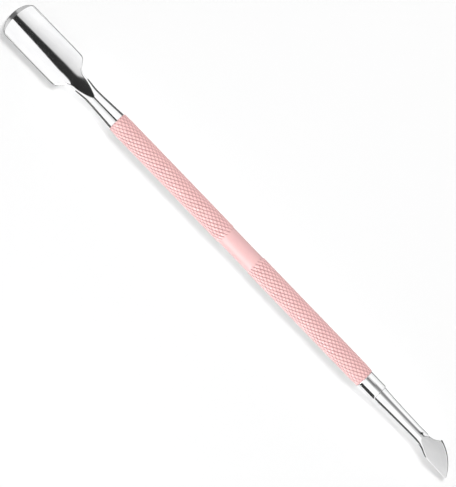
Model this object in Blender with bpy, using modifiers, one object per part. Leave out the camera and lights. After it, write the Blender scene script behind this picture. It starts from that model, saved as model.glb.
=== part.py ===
"""Double-ended cuticle pusher: a spoon-shaped pusher and a curved remover blade on one slim knurled handle.

The tool lies on a surface along X, spoon hollow up: pusher towards -X, remover towards +X.
The origin is on the surface, under the middle of the tool.
Each steel tip is a forging with a round tang. The tangs are pressed into a core tube, which also carries
the lacquered grip sleeve and the polished end collar.
"""

import math

import bmesh
import bpy

MM = 0.001

# Driving dimensions, in millimetres
LENGTH = 140.3
SPOON_WIDTH = 9.1
GRIP_RADIUS = 2.45
BAND_RADIUS = 2.3
COLLAR_RADIUS = 2.2
CORE_RADIUS = 1.72
CORE_BORE_RADIUS = 1.15
FIT_GAP = 0.03
FACE_GAP = 0.05

# Stations along the tool, in millimetres from the origin
REMOVER_END = 70.0
PUSHER_END = REMOVER_END - LENGTH
GRIP_START = -37.0
GRIP_END = 41.65
BAND_START = -2.3
BAND_END = 7.0
COLLAR_END = 46.3
PUSHER_TANG_END = -24.0
REMOVER_TANG_END = 31.0

# Smoothness of the solids
TURN_STEPS = 44
LAND_STEPS = 8
INNER_STEPS = 8

# The grip rests on one facet, so the axis is as high as that facet is from it
AXIS_HEIGHT = GRIP_RADIUS * math.cos(math.pi / TURN_STEPS)

# Pusher: outlines and heights by station; heights are from the handle's axis
SPOON_FRONT_DEPTH = 2.9
SPOON_FRONT_HALF = 4.7
SPOON_EDGE_THICKNESS = 0.12
SPOON_BEVEL = 1.0
SPOON_BEVEL_SWEEP = 0.62
SPOON_LIFT = 0.6
SPOON_LIFT_START = -56.0
SPOON_HALF = SPOON_WIDTH / 2
RIM_LAND = 0.3
CONE_RADIUS = 2.13
HOLLOW_END = -44.1
HOLLOW_END_HEIGHT = 1.745
PUSHER = {
    "half_width": [(-53.3, SPOON_HALF), (-52.8, 4.5), (-52.1, 4.17), (-51.4, 3.38), (-50.8, 2.72),
                   (-50.2, 2.36), (-49.4, 2.16), (-48.4, 2.02), (-47.2, 1.9), (-46.0, 1.79), (-45.0, 1.73),
                   (-43.6, 1.76), (-40.8, 1.91), (GRIP_START, CONE_RADIUS)],
    "rim_half": [(-53.3, SPOON_HALF - RIM_LAND), (-52.8, 4.19), (-52.1, 3.84), (-51.4, 3.02), (-50.8, 2.33),
                 (-50.2, 1.93), (-49.6, 1.68), (-49.0, 1.53), (-48.5, 1.5), (-48.0, 1.44), (-47.0, 1.21),
                 (-46.0, 0.92), (-45.0, 0.54), (-44.4, 0.24), (HOLLOW_END, 0.0)],
    "inner_height": [(-66.0, -0.88), (-55.0, -0.505), (-54.0, -0.455), (-53.5, -0.39), (-53.0, -0.255),
                     (-52.0, 0.11), (-51.0, 0.51), (-50.3, 0.765), (-49.8, 0.91), (-49.3, 1.02),
                     (-48.5, 1.17), (-47.0, 1.4), (-45.5, 1.59), (HOLLOW_END, HOLLOW_END_HEIGHT)],
    "hollow_bow": [(-69.0, 0.0604), (-66.0, 0.0567), (-62.0, 0.0528), (-58.0, 0.0458), (-54.0, 0.0403),
                   (-52.0, 0.0345), (-50.3, 0.0335), (-49.6, 0.028), (-49.0, 0.0215), (-48.5, 0.018)],
    "side_top": [(-66.0, -0.04), (-52.7, 0.02), (-50.8, 0.2), (-49.0, 0.15), (-47.1, 0.0)],
    "side_low": [(-52.7, -0.1), (-49.0, 0.0)],
    "back_height": [(-66.0, -1.6), (-52.7, -1.7), (-49.0, -1.95), (-47.1, -1.95), (-45.2, -1.78)],
    "back_flatness": [(-52.7, 1.0), (-47.1, 0.0)],
}

# Remover: the same, with a flat face in place of the hollow
NECK_BASE_RADIUS = 1.97
BLADE_ARC_CENTRE = (60.5, -7.73)
BLADE_ARC_RADIUS = 10.94
BLADE_CORNER = 63.2
FACE_START = 59.75
FACE_START_HEIGHT = 1.55
FACE_TIP_HEIGHT = -0.3
NECK = [(COLLAR_END, NECK_BASE_RADIUS), (47.7, 1.88), (49.0, 1.81), (53.6, 1.67), (58.2, 1.59)]
REMOVER = {
    "far_side": NECK + [(60.0, 1.6), (60.9, 1.6), (61.4, 1.68), (62.0, 1.94), (62.5, 2.25), (62.9, 2.58),
                        (BLADE_CORNER, 2.84)],
    "near_side": NECK + [(60.0, 1.59), (61.5, 1.79), (62.5, 2.18), (63.7, 2.49), (65.4, 2.59), (69.4, 2.57),
                         (REMOVER_END, 2.45)],
    "far_land": [(FACE_START, 1.57), (60.2, 0.86), (60.8, 0.45), (61.4, 0.29), (62.4, 0.36),
                 (BLADE_CORNER, 0.52), (64.5, 0.36), (66.3, 0.3), (68.5, 0.26), (69.6, 0.18),
                 (REMOVER_END, 0.04)],
    "near_land": [(FACE_START, 1.57), (60.2, 1.04), (61.1, 0.62), (62.2, 0.44), (63.1, 0.36), (63.7, 0.2),
                  (66.3, 0.15), (REMOVER_END, 0.04)],
    "back_height": [(station, -radius) for station, radius in NECK]
                   + [(61.1, -1.52), (63.7, -1.2), (66.8, -0.88), (REMOVER_END, -0.5)],
    "side_top": [(58.2, 0.0), (61.1, 0.2), (63.7, 0.32), (66.8, -0.12), (REMOVER_END, -0.42)],
    "side_low": [(58.2, 0.0), (61.1, 0.05), (63.7, 0.12), (66.8, -0.28), (REMOVER_END, -0.49)],
    "back_flatness": [(60.0, 0.0), (63.7, 0.7), (REMOVER_END, 0.7)],
}


def smooth(keys, station):
    """The value at a station, on a curve through the (station, value) keys that never overshoots them."""
    if station <= keys[0][0]:
        return keys[0][1]
    if station >= keys[-1][0]:
        return keys[-1][1]
    slopes = [(b[1] - a[1]) / (b[0] - a[0]) for a, b in zip(keys, keys[1:])]

    def tangent(i):
        if i == 0 or i == len(slopes):
            return slopes[min(i, len(slopes) - 1)]
        before, after = slopes[i - 1], slopes[i]
        return 0.0 if before * after <= 0 else 2 * before * after / (before + after)

    i = next(n for n in range(len(slopes)) if station <= keys[n + 1][0])
    (x0, y0), (x1, y1) = keys[i], keys[i + 1]
    span = x1 - x0
    t = (station - x0) / span
    return (
        y0 * (1 + 2 * t) * (1 - t) ** 2
        + tangent(i) * span * t * (1 - t) ** 2
        + y1 * t * t * (3 - 2 * t)
        + tangent(i + 1) * span * t * t * (t - 1)
    )


def spaced(first, last, count):
    """Stations from first to last, evenly spaced, both included."""
    return [first + (last - first) * i / (count - 1) for i in range(count)]


def section(near, far, side_low, side_top, back, flatness, near_land, far_land, rim_height, inner):
    """One cross-section as (back points, top points), both from the near side (-Y) to the far side (+Y).

    The back runs from side to side through its lowest point, round as a circle or flatter as a shallow arc.
    The top has a rounded land at each side, then a crisp rim, then the hollow or flat face between the rims.
    """
    steps = 2 * LAND_STEPS + INNER_STEPS
    centre, half = (near + far) / 2, (far - near) / 2
    back_points, top_points, far_points = [], [], []
    for i in range(steps + 1):
        turn = math.pi * i / steps
        across = -math.cos(turn)
        as_circle = side_low + (back - side_low) * math.sin(turn)
        as_arc = back + (side_low - back) * across * across
        back_points.append((centre + half * across, as_circle + (as_arc - as_circle) * flatness))
    for i in range(LAND_STEPS):
        turn = math.pi / 2 * i / LAND_STEPS
        height = side_top + (rim_height - side_top) * math.sin(turn)
        top_points.append((near + near_land * (1 - math.cos(turn)), height))
        far_points.append((far - far_land * (1 - math.cos(turn)), height))
    rims = near + near_land, far - far_land
    for i in range(INNER_STEPS + 1):
        share = i / INNER_STEPS
        across = 2 * share - 1
        y = rims[0] + (rims[1] - rims[0]) * share
        top_points.append((y, inner + (rim_height - inner) * across * across))
    return back_points, top_points + far_points[::-1]


def round_section(radius):
    """A circle about the handle's axis, as section gives it."""
    return section(-radius, radius, 0, 0, -radius, 0, radius, radius, radius, radius)


def pusher_section(station):
    """The pusher's cross-section, from the spoon back to the foot of the cone."""
    at = {name: smooth(keys, station) for name, keys in PUSHER.items()}
    if station >= HOLLOW_END:
        return round_section(at["half_width"])
    lift = SPOON_LIFT * (max(0.0, SPOON_LIFT_START - station) / (SPOON_LIFT_START - PUSHER_END)) ** 2
    half, land = at["half_width"], at["half_width"] - at["rim_half"]
    rim_height = at["inner_height"] + at["hollow_bow"] * at["rim_half"] ** 2
    back, top = section(
        -half, half, at["side_low"], at["side_top"], at["back_height"], at["back_flatness"],
        land, land, rim_height, at["inner_height"],
    )
    return [(y, z + lift) for y, z in back], [(y, z + lift) for y, z in top]


def front_sweep(y):
    """How far the spoon's elliptical front edge has fallen back at y."""
    return SPOON_FRONT_DEPTH * (1 - math.sqrt(1 - (y / SPOON_FRONT_HALF) ** 2))


def pusher_loops():
    """Cross-sections from the spoon's cutting edge to the end of the tang."""
    sweep_end = PUSHER_END + 12
    stations = [PUSHER_END, PUSHER_END + SPOON_BEVEL]
    stations += spaced(PUSHER_END + 3, -53.4, 6)
    stations += spaced(-52.7, HOLLOW_END, 18)
    stations += spaced(-42.5, GRIP_START, 4)
    loops = []
    for station in stations:
        back, top = pusher_section(station)
        if station == PUSHER_END:
            top = [(y, z + SPOON_EDGE_THICKNESS) for y, z in back]
            share = 1.0
        else:
            remaining = (sweep_end - station) / (sweep_end - PUSHER_END - SPOON_BEVEL)
            share = SPOON_BEVEL_SWEEP * max(0.0, remaining)
        loops.append([[(station + share * front_sweep(y), y, z) for y, z in row] for row in (back, top)])
    for station in (GRIP_START, PUSHER_TANG_END):
        rows = round_section(CORE_BORE_RADIUS - FIT_GAP)
        loops.append([[(station, y, z) for y, z in row] for row in rows])
    return loops


def remover_section(station):
    """The remover's cross-section, from the collar to the tip of the blade."""
    at = {name: smooth(keys, station) for name, keys in REMOVER.items()}
    near, far = -at["near_side"], at["far_side"]
    if station > BLADE_CORNER:
        along, across = BLADE_ARC_CENTRE
        far = across + math.sqrt(BLADE_ARC_RADIUS**2 - (station - along) ** 2)
    if station < FACE_START:
        half = (far - near) / 2
        return section(near, far, 0, 0, at["back_height"], 0, half, half, half, half)
    face_share = (station - FACE_START) / (REMOVER_END - FACE_START)
    face = FACE_START_HEIGHT + (FACE_TIP_HEIGHT - FACE_START_HEIGHT) * face_share
    return section(
        near, far, at["side_low"], at["side_top"], at["back_height"], at["back_flatness"],
        at["near_land"], at["far_land"], face, face,
    )


def remover_loops():
    """Cross-sections from the end of the tang to the tip of the blade."""
    loops = []
    shoulder = COLLAR_END + FACE_GAP
    for station in (REMOVER_TANG_END, shoulder):
        rows = round_section(CORE_BORE_RADIUS - FIT_GAP)
        loops.append([[(station, y, z) for y, z in row] for row in rows])
    stations = [shoulder, 46.9, 47.7, 49.0, 51.0, 53.6, 58.2, FACE_START]
    stations += spaced(FACE_START + 0.35, BLADE_CORNER, 11)
    stations += spaced(BLADE_CORNER + 0.6, 69.2, 9) + [69.7, REMOVER_END]
    for station in stations:
        loops.append([[(station, y, z) for y, z in row] for row in remover_section(station)])
    return loops


def principled(name, colour, roughness, metallic):
    """A Principled material."""
    material = bpy.data.materials.new(name)
    material.use_nodes = True
    shader = material.node_tree.nodes["Principled BSDF"]
    shader.inputs["Base Color"].default_value = (*colour, 1)
    shader.inputs["Roughness"].default_value = roughness
    shader.inputs["Metallic"].default_value = metallic
    return material


def finish(obj, material, collection):
    """Gives an object its material, shading and collection, and puts it on the handle's axis."""
    obj.data.materials.append(material)
    obj.location = (0, 0, AXIS_HEIGHT * MM)
    collection.objects.link(obj)
    return obj


def lofted(name, loops, material, collection):
    """A closed solid through cross-sections, each given as its back and top rows of points."""
    mesh = bmesh.new()
    rings = []
    for back, top in loops:
        points = back + top[::-1]
        rings.append([mesh.verts.new([c * MM for c in p]) for p in points])
    count = len(rings[0])
    for ring, following in zip(rings, rings[1:]):
        for i in range(count):
            j = (i + 1) % count
            mesh.faces.new((ring[i], ring[j], following[j], following[i]))
    for ring in (rings[0], rings[-1]):
        for i in range(count // 2 - 1):
            mesh.faces.new((ring[i], ring[i + 1], ring[count - 2 - i], ring[count - 1 - i]))
    bmesh.ops.remove_doubles(mesh, verts=mesh.verts, dist=1e-7)
    bmesh.ops.recalc_face_normals(mesh, faces=mesh.faces)
    data = bpy.data.meshes.new(name)
    mesh.to_mesh(data)
    mesh.free()
    data.shade_smooth()
    data.set_sharp_from_angle(angle=math.radians(30))
    return finish(bpy.data.objects.new(name, data), material, collection)


def turned(name, outside, inside, material, collection):
    """A ring turned about the handle's axis, from its outside and inside profiles of (station, radius)."""
    profile = outside[::-1] + inside
    half_step = math.pi / TURN_STEPS
    mesh = bmesh.new()
    points = [
        mesh.verts.new((r * math.cos(half_step) * MM, r * math.sin(half_step) * MM, station * MM))
        for station, r in profile
    ]
    for point, following in zip(points, points[1:] + points[:1]):
        mesh.edges.new((point, following))
    data = bpy.data.meshes.new(name)
    mesh.to_mesh(data)
    mesh.free()
    obj = bpy.data.objects.new(name, data)
    obj.rotation_euler = (0, math.radians(90), 0)
    screw = obj.modifiers.new("turn", "SCREW")
    screw.axis = "Z"
    screw.steps = screw.render_steps = TURN_STEPS
    screw.use_merge_vertices = True
    screw.merge_threshold = 1e-6
    screw.use_smooth_shade = True
    return finish(obj, material, collection)


def core_tube(material, collection):
    """The steel tube inside the grip, which both tangs are pressed into."""
    ends = GRIP_START + FACE_GAP, COLLAR_END - FACE_GAP
    chamfer = 0.15
    outside = [
        (ends[0], CORE_RADIUS - chamfer), (ends[0] + chamfer, CORE_RADIUS),
        (ends[1] - chamfer, CORE_RADIUS), (ends[1], CORE_RADIUS - chamfer),
    ]
    inside = [(ends[0], CORE_BORE_RADIUS), (ends[1], CORE_BORE_RADIUS)]
    return turned("core_tube", outside, inside, material, collection)


def grip_sleeve(material, collection):
    """The lacquered sleeve: two knurled lengths at their crest radius, and the plain band between them."""
    run_in, step = 2.6, 0.35
    start, end = GRIP_START + FACE_GAP, GRIP_END
    outside = [
        (start, 2.3), (start + 0.12, 2.37), (start + run_in, GRIP_RADIUS),
        (BAND_START - step, GRIP_RADIUS), (BAND_START, BAND_RADIUS),
        (BAND_END, BAND_RADIUS), (BAND_END + step, GRIP_RADIUS),
        (end - run_in, GRIP_RADIUS), (end - 0.12, 2.36), (end, 2.28),
    ]
    bore = CORE_RADIUS + FIT_GAP
    return turned("grip_sleeve", outside, [(start, bore), (end, bore)], material, collection)


def end_collar(material, collection):
    """The polished collar that closes the grip on the remover's side."""
    start, chamfer = GRIP_END + FACE_GAP, 0.22
    outside = [
        (start, COLLAR_RADIUS), (COLLAR_END - chamfer, COLLAR_RADIUS), (COLLAR_END, COLLAR_RADIUS - chamfer),
    ]
    bore = CORE_RADIUS + FIT_GAP
    return turned("end_collar", outside, [(start, bore), (COLLAR_END, bore)], material, collection)


def main():
    for obj in list(bpy.data.objects):
        bpy.data.objects.remove(obj)
    tool = bpy.data.collections.new("cuticle_pusher")
    bpy.context.scene.collection.children.link(tool)
    polished = principled("polished_steel", (0.82, 0.82, 0.83), 0.08, 1.0)
    plain = principled("drawn_steel", (0.55, 0.55, 0.56), 0.35, 1.0)
    lacquer = principled("pink_lacquer", (0.86, 0.47, 0.46), 0.42, 0.0)
    lofted("pusher_tip", pusher_loops(), polished, tool)
    core_tube(plain, tool)
    grip_sleeve(lacquer, tool)
    end_collar(polished, tool)
    lofted("remover_tip", remover_loops(), polished, tool)


main()
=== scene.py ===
# Cuticle pusher, dressed over its CAD frame.
# X runs along the tool (spoon pusher at -X, remover blade at +X), Y across, Z up.
# All sizes below are in mm.
import math
import bmesh
import bpy
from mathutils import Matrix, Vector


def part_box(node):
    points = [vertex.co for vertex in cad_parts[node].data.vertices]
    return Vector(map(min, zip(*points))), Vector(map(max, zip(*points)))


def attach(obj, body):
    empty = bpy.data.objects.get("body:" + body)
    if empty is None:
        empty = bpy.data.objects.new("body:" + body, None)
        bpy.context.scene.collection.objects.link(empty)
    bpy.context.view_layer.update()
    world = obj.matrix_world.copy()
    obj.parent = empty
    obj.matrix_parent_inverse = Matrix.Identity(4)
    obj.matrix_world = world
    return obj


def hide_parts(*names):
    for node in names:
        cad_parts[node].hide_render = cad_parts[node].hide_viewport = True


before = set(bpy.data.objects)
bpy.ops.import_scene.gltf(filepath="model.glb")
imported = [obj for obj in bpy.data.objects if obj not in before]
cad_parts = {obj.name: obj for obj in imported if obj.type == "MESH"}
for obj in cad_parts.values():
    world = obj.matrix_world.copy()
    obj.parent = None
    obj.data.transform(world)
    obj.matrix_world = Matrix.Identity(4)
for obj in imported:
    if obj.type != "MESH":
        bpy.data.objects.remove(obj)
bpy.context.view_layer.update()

mm = 0.001
weldReach = 0.0002   # points of a blade nearer than this become one

gripLow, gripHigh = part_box("grip_sleeve")
collarLow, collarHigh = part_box("end_collar")
pusherLow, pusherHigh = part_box("pusher_tip")
removerLow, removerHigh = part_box("remover_tip")
axisHeight = (gripLow.z + gripHigh.z) / 2   # the handle's centre line above the floor, in metres

print("frame loaded, axis at", round(axisHeight / mm, 3), "mm")


def smoothAt(keys, x):
    # value at x on a curve through (x, value) keys, never past the keys it runs between
    if x <= keys[0][0]:
        return keys[0][1]
    if x >= keys[-1][0]:
        return keys[-1][1]
    slopes = [(b[1] - a[1]) / (b[0] - a[0]) for a, b in zip(keys, keys[1:])]

    def lean(i):
        if i == 0 or i == len(slopes):
            return slopes[min(i, len(slopes) - 1)]
        before, after = slopes[i - 1], slopes[i]
        return 0.0 if before * after <= 0 else 2 * before * after / (before + after)

    i = next(n for n in range(len(slopes)) if x <= keys[n + 1][0])
    (x0, y0), (x1, y1) = keys[i], keys[i + 1]
    span = x1 - x0
    t = (x - x0) / span
    return (y0 * (1 + 2 * t) * (1 - t) ** 2 + lean(i) * span * t * (1 - t) ** 2
            + y1 * t * t * (3 - 2 * t) + lean(i + 1) * span * t * t * (t - 1))


def spread(first, last, count):
    return [first + (last - first) * i / (count - 1) for i in range(count)]


def ease(t):
    t = min(1.0, max(0.0, t))
    return t * t * (3 - 2 * t)


def section(cut, near, far, sideLow, sideTop, back, flatness, nearLand, farLand, rimHeight, inner):
    # one slice of a blade: the rounded back, then the top with two rolled edges and what lies between them
    steps = 2 * cut["landSteps"] + cut["innerSteps"]
    centre, half = (near + far) / 2, (far - near) / 2
    backRow, topRow, farRow = [], [], []
    for i in range(steps + 1):
        turn = math.pi * i / steps
        across = -math.cos(turn)
        asCircle = sideLow + (back - sideLow) * math.sin(turn)
        asArc = back + (sideLow - back) * across * across
        backRow.append((centre + half * across, asCircle + (asArc - asCircle) * flatness))
    for i in range(cut["landSteps"]):
        turn = math.pi / 2 * i / cut["landSteps"]
        height = sideTop + (rimHeight - sideTop) * math.sin(turn)
        topRow.append((near + nearLand * (1 - math.cos(turn)), height))
        farRow.append((far - farLand * (1 - math.cos(turn)), height))
    for i in range(cut["innerSteps"] + 1):
        share = i / cut["innerSteps"]
        across = 2 * share - 1
        y = near + nearLand + (far - farLand - near - nearLand) * share
        topRow.append((y, inner + (rimHeight - inner) * across * across))
    return backRow, topRow + farRow[::-1]


def roundSection(cut, radius):
    return section(cut, -radius, radius, 0, 0, -radius, 0, radius, radius, radius, radius)


def placed(rows, x):
    return [[(x, y, z) for y, z in row] for row in rows]


def loft(name, loops, finishOf, materials, sharpAngle):
    # closed skin through slices; finishOf(slice number, column, columns) picks the material slot of a face
    mesh = bmesh.new()
    rings = []
    for back, top in loops:
        rings.append([mesh.verts.new((x * mm, y * mm, z * mm + axisHeight))
                      for x, y, z in back + top[::-1]])
    count = len(rings[0])
    for k, (ring, following) in enumerate(zip(rings, rings[1:])):
        for i in range(count):
            j = (i + 1) % count
            face = mesh.faces.new((ring[i], ring[j], following[j], following[i]))
            face.material_index = finishOf(k, i, count)
    for ring in (rings[0], rings[-1]):
        for i in range(count // 2 - 1):
            mesh.faces.new((ring[i], ring[i + 1], ring[count - 2 - i], ring[count - 1 - i]))
    bmesh.ops.remove_doubles(mesh, verts=mesh.verts, dist=weldReach * mm)
    bmesh.ops.recalc_face_normals(mesh, faces=mesh.faces)
    return meshObject(name, mesh, materials, sharpAngle)


def meshObject(name, mesh, materials, sharpAngle=30):
    data = bpy.data.meshes.new(name)
    mesh.to_mesh(data)
    mesh.free()
    data.shade_smooth()
    data.set_sharp_from_angle(angle=math.radians(sharpAngle))
    for material in materials:
        data.materials.append(material)
    obj = bpy.data.objects.new(name, data)
    bpy.context.scene.collection.objects.link(obj)
    return obj


def onCircle(x, radius, angle):
    return x * mm, radius * mm * math.cos(angle), axisHeight + radius * mm * math.sin(angle)


def turned(profile, steps):
    # closed skin of a turned shape from (x, radius) pairs; the last ring joins the first
    mesh = bmesh.new()
    turns = [2 * math.pi * i / steps for i in range(steps)]
    rings = [[mesh.verts.new(onCircle(x, radius, angle)) for angle in turns] for x, radius in profile]
    for ring, following in zip(rings, rings[1:] + rings[:1]):
        for i in range(steps):
            j = (i + 1) % steps
            mesh.faces.new((ring[i], ring[j], following[j], following[i]))
    bmesh.ops.recalc_face_normals(mesh, faces=mesh.faces)
    return mesh


def rounded(corners, radius, steps=5):
    # a profile with its corners rolled over by a small radius; end points stay as they are
    out = [corners[0]]
    for before, corner, after in zip(corners, corners[1:], corners[2:]):
        toBefore = (before[0] - corner[0], before[1] - corner[1])
        toAfter = (after[0] - corner[0], after[1] - corner[1])
        a, b = math.hypot(*toBefore), math.hypot(*toAfter)
        reach = min(radius, a / 2, b / 2)
        first = (corner[0] + toBefore[0] * reach / a, corner[1] + toBefore[1] * reach / a)
        last = (corner[0] + toAfter[0] * reach / b, corner[1] + toAfter[1] * reach / b)
        for i in range(steps + 1):
            t = i / steps
            out.append(tuple(first[n] * (1 - t) ** 2 + 2 * corner[n] * t * (1 - t) + last[n] * t * t
                             for n in (0, 1)))
    out.append(corners[-1])
    return out


def newMaterial(name):
    material = bpy.data.materials.new(name)
    material.use_nodes = True
    tree = material.node_tree
    return material, tree, tree.nodes["Principled BSDF"]


def stretchedNoise(tree, perMm, detail):
    # noise whose grain is given as cycles per mm along X, Y and Z
    nodes, links = tree.nodes, tree.links
    where = nodes.new("ShaderNodeTexCoord")
    scale = nodes.new("ShaderNodeMapping")
    scale.inputs["Scale"].default_value = [n / mm for n in perMm]
    noise = nodes.new("ShaderNodeTexNoise")
    noise.inputs["Scale"].default_value = 1.0
    noise.inputs["Detail"].default_value = detail
    noise.inputs["Roughness"].default_value = 0.55
    links.new(where.outputs["Object"], scale.inputs["Vector"])
    links.new(scale.outputs["Vector"], noise.inputs["Vector"])
    return noise.outputs["Fac"]


def ranged(tree, value, low, high, fromLow=0.3, fromHigh=0.7):
    # noise keeps mostly between 0.3 and 0.7, so that is the usual range to stretch
    node = tree.nodes.new("ShaderNodeMapRange")
    node.inputs["From Min"].default_value = fromLow
    node.inputs["From Max"].default_value = fromHigh
    node.inputs["To Min"].default_value = low
    node.inputs["To Max"].default_value = high
    tree.links.new(value, node.inputs["Value"])
    return node.outputs["Result"]


def blended(tree, share, first, second):
    node = tree.nodes.new("ShaderNodeMix")
    node.data_type = "RGBA"
    for name, colour in (("A", first), ("B", second)):
        socket = next(s for s in node.inputs if s.name == name and s.type == "RGBA")
        if isinstance(colour, tuple):
            socket.default_value = (*colour, 1)
        else:
            tree.links.new(colour, socket)
    tree.links.new(share, node.inputs["Factor"])
    return next(s for s in node.outputs if s.type == "RGBA")


def bumped(tree, value, depth, strength):
    node = tree.nodes.new("ShaderNodeBump")
    node.inputs["Distance"].default_value = depth * mm
    node.inputs["Strength"].default_value = strength
    tree.links.new(value, node.inputs["Height"])
    return node.outputs["Normal"]


steelCloud = (0.16, 0.45, 0.45)   # haze patches, in cycles per mm


def polishedSteel(name, look):
    # worked steel: fine lines along the grain over a soft, cloudy haze
    material, tree, shader = newMaterial(name)
    cloud = stretchedNoise(tree, steelCloud, 4.0)
    lines = stretchedNoise(tree, look["grain"], 2.0)
    colour = blended(tree, ranged(tree, cloud, 0.0, 1.0), look["dark"], look["light"])
    tree.links.new(colour, shader.inputs["Base Color"])
    tree.links.new(ranged(tree, cloud, *look["roughness"]), shader.inputs["Roughness"])
    tree.links.new(bumped(tree, lines, look["lineDepth"], look["lineStrength"]), shader.inputs["Normal"])
    shader.inputs["Metallic"].default_value = 1.0
    return material


def pinkLacquer(name, look):
    # satin lacquer on knurled metal: darker in the grooves, partly a deeper lacquer tone and partly painted
    # shade, paler on the crests
    material, tree, shader = newMaterial(name)
    crest = tree.nodes.new("ShaderNodeAttribute")
    crest.attribute_name = "crest"
    mottle = stretchedNoise(tree, look["mottle"], 4.0)
    peel = stretchedNoise(tree, look["peel"], 2.0)
    body = blended(tree, ranged(tree, mottle, 0.0, 1.0), look["cool"], look["warm"])
    # painted shade: where the crest level is low, the darker groove colour is mixed into the lacquer
    coatWithGrooveShade = blended(tree, ranged(tree, crest.outputs["Fac"], 0.0, 1.0, 0.0, 1.0), look["groove"], body)
    ray = tree.nodes.new("ShaderNodeLightPath")   # what it throws back on the table stays neutral
    shown = blended(tree, ray.outputs["Is Diffuse Ray"], coatWithGrooveShade, look["bounce"])
    tree.links.new(shown, shader.inputs["Base Color"])
    tree.links.new(ranged(tree, mottle, *look["roughness"]), shader.inputs["Roughness"])
    tree.links.new(bumped(tree, peel, look["peelDepth"], look["peelStrength"]), shader.inputs["Normal"])
    shader.inputs["Coat Weight"].default_value = look["coat"]
    shader.inputs["Coat Roughness"].default_value = look["coatRoughness"]
    return material


steelLook = {
    "dark": (0.86, 0.86, 0.87), "light": (0.93, 0.93, 0.93), "roughness": (0.05, 0.1),
    "grain": (0.25, 9.0, 9.0), "lineDepth": 0.002, "lineStrength": 0.25,
}
satinLook = {
    "dark": (0.78, 0.78, 0.79), "light": (0.84, 0.84, 0.84), "roughness": (0.08, 0.12),
    "grain": (10.0, 0.5, 0.5), "lineDepth": 0.002, "lineStrength": 0.3,
}
groundLook = {
    "dark": (0.8, 0.8, 0.81), "light": (0.86, 0.86, 0.86), "roughness": (0.2, 0.28),
    "grain": (9.0, 0.4, 0.4), "lineDepth": 0.003, "lineStrength": 0.4,
}
tubeLook = {
    "dark": (0.5, 0.5, 0.52), "light": (0.62, 0.62, 0.63), "roughness": (0.3, 0.42),
    "grain": (0.2, 7.0, 7.0), "lineDepth": 0.004, "lineStrength": 0.5,
}
lacquerLook = {
    # groove is the painted-shade colour for the knurl's hollows
    "warm": (0.98, 0.625, 0.61), "cool": (0.96, 0.595, 0.6), "groove": (0.47, 0.2, 0.2),
    "bounce": (0.5, 0.5, 0.5), "roughness": (0.4, 0.5), "coat": 0.2, "coatRoughness": 0.3,
    "mottle": (0.35, 0.5, 0.5), "peel": (5.0, 5.0, 5.0), "peelDepth": 0.006, "peelStrength": 0.35,
}
buffed = polishedSteel("buffedSteel", steelLook)
satin = polishedSteel("satinBevelSteel", satinLook)
ground = polishedSteel("groundFaceSteel", groundLook)
drawn = polishedSteel("drawnTubeSteel", tubeLook)
lacquer = pinkLacquer("pinkLacquer", lacquerLook)
print("finishes made")


pusher = {
    "landSteps": 10, "innerSteps": 40, "sharpAngle": 22,
    "end": pusherLow.x / mm, "hollowEnd": -44.1, "gripStart": -37.0,
    "tangEnd": pusherHigh.x / mm, "tangRadius": 1.12,
    "frontDepth": 3.2, "frontHalf": 4.7, "sweptLength": 12.0,   # rounded front, and how far back it fades
    "edge": 0.04, "bevel": 1.0, "bevelSweep": 0.62,
    "edgeRoll": [(0.02, 0.08), (0.06, 0.16), (0.12, 0.23), (0.2, 0.28)],   # shares of bevel width and rise
    "lift": 0.6, "liftStart": -56.0,
    "bladeGap": 0.4, "bladeStop": -53.4, "bladeSlices": 30,
    "waistStart": -52.9, "waistSlices": 90, "coneStart": -43.8, "coneSlices": 20,
    "along": {   # (x, value) keys along the tool
        "half": [(-53.3, 4.55), (-52.8, 4.5), (-52.1, 4.17), (-51.4, 3.38), (-50.8, 2.72), (-50.2, 2.36),
                 (-49.4, 2.16), (-48.4, 2.02), (-47.2, 1.9), (-46.0, 1.79), (-45.0, 1.73), (-43.6, 1.76),
                 (-40.8, 1.91), (-37.0, 2.13)],
        "rim": [(-53.3, 4.25), (-52.8, 4.19), (-52.1, 3.84), (-51.4, 3.02), (-50.8, 2.33), (-50.2, 1.93),
                (-49.6, 1.68), (-49.0, 1.53), (-48.5, 1.5), (-48.0, 1.44), (-47.0, 1.21), (-46.0, 0.92),
                (-45.0, 0.54), (-44.4, 0.24), (-44.1, 0.0)],   # half the width of the hollow
        "inner": [(-66.0, -0.88), (-55.0, -0.505), (-54.0, -0.455), (-53.5, -0.39), (-53.0, -0.255),
                  (-52.0, 0.11), (-51.0, 0.51), (-50.3, 0.765), (-49.8, 0.91), (-49.3, 1.02), (-48.5, 1.17),
                  (-47.0, 1.4), (-45.5, 1.59), (-44.1, 1.745)],   # height of the hollow's middle
        "bow": [(-69.0, 0.0604), (-66.0, 0.0567), (-62.0, 0.0528), (-58.0, 0.0458), (-54.0, 0.0403),
                (-52.0, 0.0345), (-50.3, 0.0335), (-49.6, 0.028), (-49.0, 0.0215),
                (-48.5, 0.018)],   # how steeply the hollow rises towards its rims
        "sideTop": [(-66.0, -0.04), (-52.7, 0.02), (-50.8, 0.2), (-49.0, 0.15), (-47.1, 0.0)],
        "sideLow": [(-52.7, -0.1), (-49.0, 0.0)],
        "back": [(-66.0, -1.6), (-52.7, -1.7), (-49.0, -1.95), (-47.1, -1.95), (-45.2, -1.78)],
        "flatness": [(-52.7, 1.0), (-47.1, 0.0)],   # 0 is a round back, 1 a shallow arch
    },
}


def pusherSlice(x):
    at = {fact: smoothAt(keys, x) for fact, keys in pusher["along"].items()}
    if x >= pusher["hollowEnd"]:
        return roundSection(pusher, at["half"])
    land = at["half"] - at["rim"]
    rimHeight = at["inner"] + at["bow"] * at["rim"] ** 2
    rows = section(pusher, -at["half"], at["half"], at["sideLow"], at["sideTop"],
                   at["back"], at["flatness"], land, land, rimHeight, at["inner"])
    rise = max(0.0, pusher["liftStart"] - x) / (pusher["liftStart"] - pusher["end"])
    lift = pusher["lift"] * rise * rise
    return tuple([(y, z + lift) for y, z in row] for row in rows)


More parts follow.
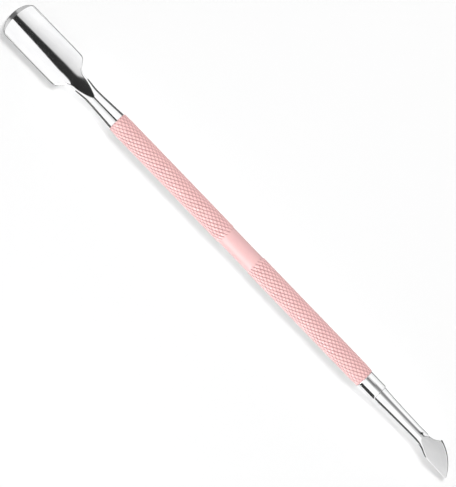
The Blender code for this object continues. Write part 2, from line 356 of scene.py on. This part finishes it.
def makePusher():
    end, bevel = pusher["end"], pusher["bevel"]
    depth, across = pusher["frontDepth"], pusher["frontHalf"]
    squareFrom = end + pusher["sweptLength"]   # slices are square across the blade from here on

    def swept(rows, x, share):
        return [[(x + share * depth * (1 - math.sqrt(1 - (y / across) ** 2)), y, z) for y, z in row]
                for row in rows]

    back, top = pusherSlice(end + bevel)
    edgeBack = pusherSlice(end)[0]
    edgeTop = [(y, z + pusher["edge"]) for y, z in edgeBack]
    loops = [swept((edgeBack, edgeTop), end, 1.0)]
    for width, rise in pusher["edgeRoll"]:
        rows = [[(y, z + (up - z) * share) for (y, z), (_, up) in zip(low, high)]
                for low, high, share in ((edgeBack, back, width), (edgeTop, top, rise))]
        loops.append(swept(rows, end + bevel * width, 1 - (1 - pusher["bevelSweep"]) * width))
    stations = [end + bevel]
    stations += spread(end + bevel + pusher["bladeGap"], pusher["bladeStop"], pusher["bladeSlices"])
    stations += spread(pusher["waistStart"], pusher["hollowEnd"], pusher["waistSlices"])
    for x in stations:
        share = pusher["bevelSweep"] * max(0.0, (squareFrom - x) / (squareFrom - end - bevel))
        loops.append(swept(pusherSlice(x), x, share))
    for x in spread(pusher["coneStart"], pusher["gripStart"], pusher["coneSlices"]):
        loops.append(placed(pusherSlice(x), x))
    for x in (pusher["gripStart"], pusher["tangEnd"]):
        loops.append(placed(roundSection(pusher, pusher["tangRadius"]), x))

    def finishOf(k, i, count):
        return 1 if k == len(pusher["edgeRoll"]) and i >= count // 2 else 0

    return loft("pusherSpoon", loops, finishOf, [buffed, satin], pusher["sharpAngle"])


remover = {
    "landSteps": 10, "innerSteps": 30, "sharpAngle": 22,
    "end": removerHigh.x / mm, "collarEnd": 46.3, "tangEnd": removerLow.x / mm, "tangRadius": 1.12,
    "arcCentre": (60.5, -7.73), "arcRadius": 10.94, "corner": 63.2,   # the curved cutting edge
    "faceStart": 59.75, "faceStartHeight": 1.55, "faceTipHeight": -0.3,
    "neckRuns": [(46.3, 49.0, 14), (49.5, 59.75, 18)],   # first, last and number of slices
    "faceRuns": [(59.87, 63.2, 34), (63.4, 69.6, 30)], "tipSlices": [69.75, 69.88],
    "along": {   # (x, value) keys along the tool
        "far": [(46.3, 1.97), (47.7, 1.88), (49.0, 1.81), (53.6, 1.67), (58.2, 1.59), (60.0, 1.6),
                (60.9, 1.6), (61.4, 1.68), (62.0, 1.94), (62.5, 2.25), (62.9, 2.58), (63.2, 2.84)],
        "near": [(46.3, 1.97), (47.7, 1.88), (49.0, 1.81), (53.6, 1.67), (58.2, 1.59), (60.0, 1.59),
                 (61.5, 1.79), (62.5, 2.18), (63.7, 2.49), (65.4, 2.59), (69.4, 2.57), (70.0, 2.45)],
        "farLand": [(59.75, 1.57), (60.2, 0.86), (60.8, 0.45), (61.4, 0.29), (62.4, 0.36), (63.2, 0.54),
                    (64.5, 0.45), (66.3, 0.4), (68.5, 0.34), (69.6, 0.22), (70.0, 0.04)],
        "nearLand": [(59.75, 1.57), (60.2, 1.04), (61.1, 0.62), (62.2, 0.44), (63.1, 0.36), (63.7, 0.2),
                     (66.3, 0.15), (70.0, 0.04)],
        "back": [(46.3, -1.97), (47.7, -1.88), (49.0, -1.81), (53.6, -1.67), (58.2, -1.59), (61.1, -1.52),
                 (63.7, -1.2), (66.8, -0.88), (70.0, -0.5)],
        "sideTop": [(58.2, 0.0), (61.1, 0.2), (63.7, 0.32), (66.8, -0.12), (70.0, -0.42)],
        "sideLow": [(58.2, 0.0), (61.1, 0.05), (63.7, 0.12), (66.8, -0.28), (70.0, -0.49)],
        "flatness": [(60.0, 0.0), (63.7, 0.7), (70.0, 0.7)],
    },
}


def removerSlice(x):
    at = {fact: smoothAt(keys, x) for fact, keys in remover["along"].items()}
    near, far = -at["near"], at["far"]
    if x > remover["corner"]:
        along, across = remover["arcCentre"]
        far = across + math.sqrt(remover["arcRadius"] ** 2 - (x - along) ** 2)
    if x < remover["faceStart"]:
        half = (far - near) / 2
        return section(remover, near, far, 0, 0, at["back"], 0, half, half, half, half)
    share = (x - remover["faceStart"]) / (remover["end"] - remover["faceStart"])
    face = remover["faceStartHeight"] + (remover["faceTipHeight"] - remover["faceStartHeight"]) * share
    return section(remover, near, far, at["sideLow"], at["sideTop"], at["back"], at["flatness"],
                   at["nearLand"], at["farLand"], face, face)


def makeRemover():
    tangStations = [remover["tangEnd"], remover["collarEnd"]]
    bladeStations = []
    for first, last, count in remover["neckRuns"] + remover["faceRuns"]:
        bladeStations += spread(first, last, count)
    bladeStations += remover["tipSlices"] + [remover["end"]]
    loops = [placed(roundSection(remover, remover["tangRadius"]), x) for x in tangStations]
    loops += [placed(removerSlice(x), x) for x in bladeStations]
    stations = tangStations + bladeStations
    land = remover["landSteps"]

    def finishOf(k, i, count):
        onTop = land <= count - 1 - i < land + remover["innerSteps"]
        return 1 if onTop and stations[k] >= remover["faceStart"] else 0

    return loft("removerBlade", loops, finishOf, [buffed, ground], remover["sharpAngle"])


grip = {
    "start": gripLow.x / mm, "end": gripHigh.x / mm,
    "crest": (gripHigh.z - gripLow.z) / 2 / mm, "bore": 1.75,
    "starts": 17, "pitch": 1.515, "perCell": 8, "sharpAngle": 55,
    "depth": 0.19, "crossDepth": 0.12, "grooveShare": 0.47, "pit": 0.7,   # crossings go a little deeper
    # bandTone mixes a little of the groove's painted-shade colour into the smooth band; endTone sets the
    # end faces and bore at level 0.3, mostly the groove colour
    "bandStart": -2.3, "bandEnd": 7.0, "bandRadius": 2.3, "bandStep": 0.3, "bandTone": 0.16,
    "runOut": 0.6, "runOutLead": 0.8, "runOutGap": 0.45,   # how the grooves die out into the band
    "runIn": 2.6, "startRadius": 2.37, "endRadius": 2.36, "endDepth": 0.55, "endTone": 0.3,
    # darkestCut: the cut, in depths of the main grooves, at which the painted groove shade is darkest
    "chamfer": 0.12, "chamferDrop": 0.09, "darkestCut": 1.15,   # in depths of the main grooves
}


def gripRow(i, x):
    # radius, and a painted-shade level that follows how proud it stands (1 on a crest, lower down into the
    # grooves and on the smooth band), of each point round row i of the sleeve
    cell = grip["perCell"]
    fromStart, fromEnd = x - grip["start"], grip["end"] - x
    fromNearest = min(fromStart, fromEnd)
    taper = ease(fromNearest / grip["runIn"])
    low = grip["startRadius"] if fromStart < fromEnd else grip["endRadius"]
    top = low + (grip["crest"] - low) * taper
    top -= grip["chamferDrop"] * (1 - ease(fromNearest / grip["chamfer"]))
    band = ease((x - grip["bandStart"] + grip["bandStep"]) / grip["bandStep"])
    band *= ease((grip["bandEnd"] + grip["bandStep"] - x) / grip["bandStep"])
    outside = max(grip["bandStart"] - x, x - grip["bandEnd"]) / grip["runOut"]
    mainFade, crossFade = ease(outside + grip["runOutLead"]), ease(outside - grip["runOutGap"])

    def groove(place, depth):
        return depth * (1 - min(1.0, abs(place - round(place)) * 2 / grip["grooveShare"]))

    row = []
    for j in range(grip["starts"] * cell):
        main = groove((i + j) / cell, mainFade * grip["depth"])
        cross = groove((i - j) / cell, crossFade * grip["crossDepth"])
        cut = max(main, cross) + grip["pit"] * min(main, cross)
        # painted shade level: 1 on a crest, falling to 0 where the cut reaches darkestCut; the smooth band
        # takes a little less
        litLevel = 1 - min(1.0, cut / grip["depth"] / grip["darkestCut"])
        radius = top - cut * (grip["endDepth"] + (1 - grip["endDepth"]) * taper)
        radius += (grip["bandRadius"] - mainFade * main - radius) * band
        row.append((radius, litLevel - grip["bandTone"] * band))
    return row


def makeGrip():
    cell = grip["perCell"]
    around = grip["starts"] * cell
    rows = int((grip["end"] - grip["start"]) / (grip["pitch"] / cell)) + 1
    step = (grip["end"] - grip["start"]) / rows
    rings = [(grip["start"] + i * step, gripRow(i, grip["start"] + i * step)) for i in range(rows + 1)]
    # end faces and bore take the endTone level, mostly the darker groove colour
    rings += [(x, [(grip["bore"], grip["endTone"])] * around) for x in (grip["end"], grip["start"])]
    mesh = bmesh.new()
    turns = [2 * math.pi * j / around for j in range(around)]
    points = [[mesh.verts.new(onCircle(x, radius, angle)) for (radius, _), angle in zip(row, turns)]
              for x, row in rings]
    for i, (ring, following) in enumerate(zip(points, points[1:] + points[:1])):
        for j in range(around):
            k = (j + 1) % around
            a, b, c, d = ring[j], following[j], following[k], ring[k]
            if i >= rows:   # end faces and bore
                faces = [(a, b, c, d)]
            else:           # split each quad along the groove it lies beside
                p, q = (i + j + 1) / cell, (i - j) / cell
                along = abs(p - round(p)) < abs(q - round(q))
                faces = [(a, b, d), (b, c, d)] if along else [(a, b, c), (a, c, d)]
            for face in faces:
                mesh.faces.new(face)
    bmesh.ops.recalc_face_normals(mesh, faces=mesh.faces)
    obj = meshObject("knurledGrip", mesh, [lacquer], grip["sharpAngle"])
    paintedShadeLevels = obj.data.attributes.new("crest", "FLOAT", "POINT")
    # the painted-shade levels go on the mesh as the crest attribute that pinkLacquer reads
    paintedShadeLevels.data.foreach_set("value", [crest for _, row in rings for _, crest in row])
    return obj


collar = {
    "start": collarLow.x / mm, "end": collarHigh.x / mm, "radius": (collarHigh.z - collarLow.z) / 2 / mm,
    "bore": 1.75, "chamfer": 0.16, "startChamfer": 0.06, "roll": 0.07, "steps": 128, "sharpAngle": 40,
}


def makeCollar():
    radius, start, end = collar["radius"], collar["start"], collar["end"]
    outline = rounded([
        (start, collar["bore"]),
        (start, radius - collar["startChamfer"]), (start + collar["startChamfer"], radius),
        (end - collar["chamfer"], radius), (end, radius - collar["chamfer"]),
        (end, collar["bore"]),
    ], collar["roll"])
    return meshObject("turnedCollar", turned(outline, collar["steps"]), [buffed], collar["sharpAngle"])


spoon = makePusher()
blade = makeRemover()
sleeve = makeGrip()
ring = makeCollar()
print("pieces made:", len(sleeve.data.polygons), "faces of knurling")

for piece, node, slot in (
    (spoon, "pusher_tip", "polished_steel"), (blade, "remover_tip", "polished_steel"),
    (sleeve, "grip_sleeve", "pink_lacquer"), (ring, "end_collar", "polished_steel"),
):
    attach(piece, "root")
    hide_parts(node)
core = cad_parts["core_tube"]
core.data.materials.clear()
core.data.materials.append(drawn)


studio = {
    "seenSky": 1.1, "fillSky": 0.15,
    "floorColour": (0.93, 0.93, 0.93), "floorSize": 3000.0, "floorDrop": 0.01,
}
lamps = {   # angle is from straight up, positive towards +Y
    "softKey": {"angle": 26.5, "distance": 700.0, "size": 240.0, "power": 2.15, "shadow": True},
    "nearFill": {"angle": -45.0, "distance": 700.0, "size": 300.0, "power": 3.1, "shadow": False},
    "farFill": {"angle": 45.0, "distance": 700.0, "size": 300.0, "power": 0.7, "shadow": False},
}


def makeWorld():
    # white room: bright where it is looked at or mirrored, much weaker as fill light
    world = bpy.data.worlds.new("softRoom")
    world.use_nodes = True
    tree = world.node_tree
    room = tree.nodes["Background"]
    room.inputs["Color"].default_value = (1, 1, 1, 1)
    ray = tree.nodes.new("ShaderNodeLightPath")
    strength = ranged(tree, ray.outputs["Is Diffuse Ray"], studio["seenSky"], studio["fillSky"], 0.0, 1.0)
    tree.links.new(strength, room.inputs["Strength"])
    bpy.context.scene.world = world


def makeFloor():
    mesh = bmesh.new()
    reach = studio["floorSize"] / 2 * mm
    mesh.faces.new([mesh.verts.new((x, y, -studio["floorDrop"] * mm)) for x, y in
                    ((-reach, -reach), (reach, -reach), (reach, reach), (-reach, reach))])
    material, tree, shader = newMaterial("paleFloor")
    shader.inputs["Base Color"].default_value = (*studio["floorColour"], 1)
    shader.inputs["Roughness"].default_value = 0.9
    shader.inputs["Specular IOR Level"].default_value = 0.0
    floor = meshObject("paleFloor", mesh, [material])


def makeLamp(name, lamp):
    data = bpy.data.lights.new(name, "AREA")
    data.shape = "DISK"
    data.size = lamp["size"] * mm
    data.energy = lamp["power"]
    data.use_shadow = lamp["shadow"]
    light = bpy.data.objects.new(name, data)
    lean = math.radians(lamp["angle"])
    reach = lamp["distance"] * mm
    light.location = (0, math.sin(lean) * reach, math.cos(lean) * reach)
    light.rotation_euler = (-lean, 0, 0)
    light.visible_glossy = False   # steel mirrors the room and the cards, never the lamps
    bpy.context.scene.collection.objects.link(light)


# Flags and cards that only reflections see. A flat one spans x and y at height z, an upright one spans
# x and z at distance y, and a facing one spans y and z at x. Tones are (y or z, brightness), 1.1 is white.
cards = {
    "overheadFlag": {"x": (-200, -30), "y": (-90, 24.5), "z": 120,
                     "tones": [(-90, 1.1), (-50, 0.95), (-15, 0.72), (-11, 0.1), (-8, 0.03), (24.5, 0.03)]},
    "forwardFlag": {"x": (-420, -200), "y": (-22, 50), "z": 120,
                    "tones": [(-22, 0.6), (-16, 0.15), (26, 0.15), (30, 0.7), (50, 0.8)]},
    "bevelCardNear": {"x": (-1200, -205), "y": (-600, 8), "z": 122,
                      "tones": [(-600, 0.5), (-60, 0.62), (8, 0.7)]},
    "bevelCardFar": {"x": (-1200, -205), "y": (8, 600), "z": 122, "tones": [(8, 0.84), (600, 0.74)]},
    "coneTableNear": {"x": (-48.3, -36.9), "y": (-16, -1), "z": 0.05, "tone": 0.14},
    "coneTableFar": {"x": (-48.3, -36.9), "y": (1, 16), "z": 0.05, "tone": 0.14},
    "spoonTableNear": {"x": (-82, -50.8), "y": (-19, -2.4), "z": 0.05, "tone": 0.04},
    "spoonTableFar": {"x": (-82, -50.8), "y": (2.4, 19), "z": 0.05, "tone": 0.04},
    "spoonWallNear": {"x": (-82, -53), "y": -16, "z": (0, 10.5), "tone": 0.03},
    "spoonWallFar": {"x": (-82, -53), "y": 16, "z": (0, 10.5), "tone": 0.03},
    "spoonWallFront": {"x": -82, "y": (-16, 16), "z": (0, 5), "tone": 0.08},
    "spoonTableFront": {"x": (-82, -70.3), "y": (-2.4, 2.4), "z": 0.05, "tone": 0.08},
    "collarBand": {"x": (41, 47.2), "y": (0, 46), "z": 34,
                   "tones": [(0, 1.1), (3, 0.66), (10, 0.24), (19, 0.2), (26, 0.6), (46, 1.1)]},
    "neckBand": {"x": (47.2, 64), "y": (0, 56), "z": 34,
                 "tones": [(0, 1.1), (3, 0.75), (12, 0.3), (27, 0.26), (40, 0.8), (56, 1.1)]},
    "bladeCard": {"x": (58, 89), "y": (-4, 40), "z": 36, "tones": [(-4, 0.69), (40, 0.62)]},
    "flareWallFar": {"x": (60.2, 63.8), "y": 12, "z": (0, 24), "tone": 0.03},
    "bladeWallFar": {"x": (63.8, 82), "y": 12, "z": (0, 9.5), "tone": 0.03},
    "bladeWallTip": {"x": 82, "y": (-4, 12), "z": (0, 9.5), "tone": 0.03},
    "bladeTableFar": {"x": (63, 82), "y": (-1.5, 12), "z": 0.05, "tone": 0.04},
    "collarWall": {"x": (41.8, 47.8), "y": -14, "z": (0.5, 12), "tone": 0.05},
    "neckWall": {"x": (48.5, 63.4), "y": -14, "z": (0, 7.2), "tone": 0.1},
    "neckTable": {"x": (48.5, 60.5), "y": (-14, -7), "z": 0.05, "tone": 0.1},
    "flareTable": {"x": (60.5, 63.6), "y": (-14, -2.6), "z": 0.05, "tone": 0.05},
    "removerTableFar": {"x": (41.6, 60.2), "y": (2.8, 8), "z": 0.05, "tone": 0.42},
    "gripGlowStart": {"x": (-36.5, -13), "y": -50, "z": (2, 70), "tone": 15},
    "gripGlowEnd": {"x": (18, 41.2), "y": -50, "z": (2, 70), "tone": 15},
    "gripTableFar": {"x": (-36.9, 41.6), "y": (2.5, 9), "z": 0.05, "tone": 0.05},
}


def makeCard(name, card):
    spans = [card[axis] if isinstance(card[axis], tuple) else (card[axis], card[axis]) for axis in "xyz"]
    (x0, x1), (y0, y1), (z0, z1) = spans
    corners = [(x0, y0, z0), (x1, y0, z0), (x1, y1, z1), (x0, y1, z1)]
    if x0 == x1:
        corners = [(x0, y0, z0), (x0, y1, z0), (x0, y1, z1), (x0, y0, z1)]
    standing = x0 == x1 or y0 == y1
    first, last = (z0, z1) if standing else (y0, y1)
    tones = card["tones"] if "tones" in card else [(first, card["tone"]), (last, card["tone"])]
    mesh = bmesh.new()
    mesh.faces.new([mesh.verts.new([c * mm for c in corner]) for corner in corners])
    material, tree, shader = newMaterial(name)
    tree.nodes.remove(shader)
    where = tree.nodes.new("ShaderNodeTexCoord")
    split = tree.nodes.new("ShaderNodeSeparateXYZ")
    tree.links.new(where.outputs["Object"], split.inputs["Vector"])
    along = split.outputs["Z" if standing else "Y"]
    ramp = tree.nodes.new("ShaderNodeValToRGB")
    stops = ramp.color_ramp.elements
    while len(stops) < len(tones):
        stops.new(0.5)
    for stop, (place, tone) in zip(stops, tones):
        stop.position = (place - first) / (last - first)
        stop.color = (tone, tone, tone, 1)
    tree.links.new(ranged(tree, along, 0.0, 1.0, first * mm, last * mm), ramp.inputs["Fac"])
    glow = tree.nodes.new("ShaderNodeEmission")
    tree.links.new(ramp.outputs["Color"], glow.inputs["Color"])
    tree.links.new(glow.outputs["Emission"], tree.nodes["Material Output"].inputs["Surface"])
    obj = meshObject(name, mesh, [material])
    obj.visible_camera = obj.visible_diffuse = obj.visible_shadow = obj.visible_transmission = False


# straight down over the tool, turned so that the spoon lies upper left
shot = {"x": -0.618, "y": -1.055, "height": 600.0, "turn": 46.04, "lens": 201.17}


def makeCamera():
    data = bpy.data.cameras.new("overhead")
    data.sensor_width = 36.0
    data.lens = shot["lens"]
    data.clip_start = 0.05
    data.clip_end = 20.0
    camera = bpy.data.objects.new("overhead", data)
    camera.location = (shot["x"] * mm, shot["y"] * mm, axisHeight + shot["height"] * mm)
    camera.rotation_euler = (0, 0, math.radians(shot["turn"]))
    bpy.context.scene.collection.objects.link(camera)
    bpy.context.scene.camera = camera


makeWorld()
makeFloor()
for lampName, lampFacts in lamps.items():
    makeLamp(lampName, lampFacts)
for cardName, cardFacts in cards.items():
    makeCard(cardName, cardFacts)
makeCamera()
bpy.context.scene.view_settings.view_transform = "Standard"
print("studio made")
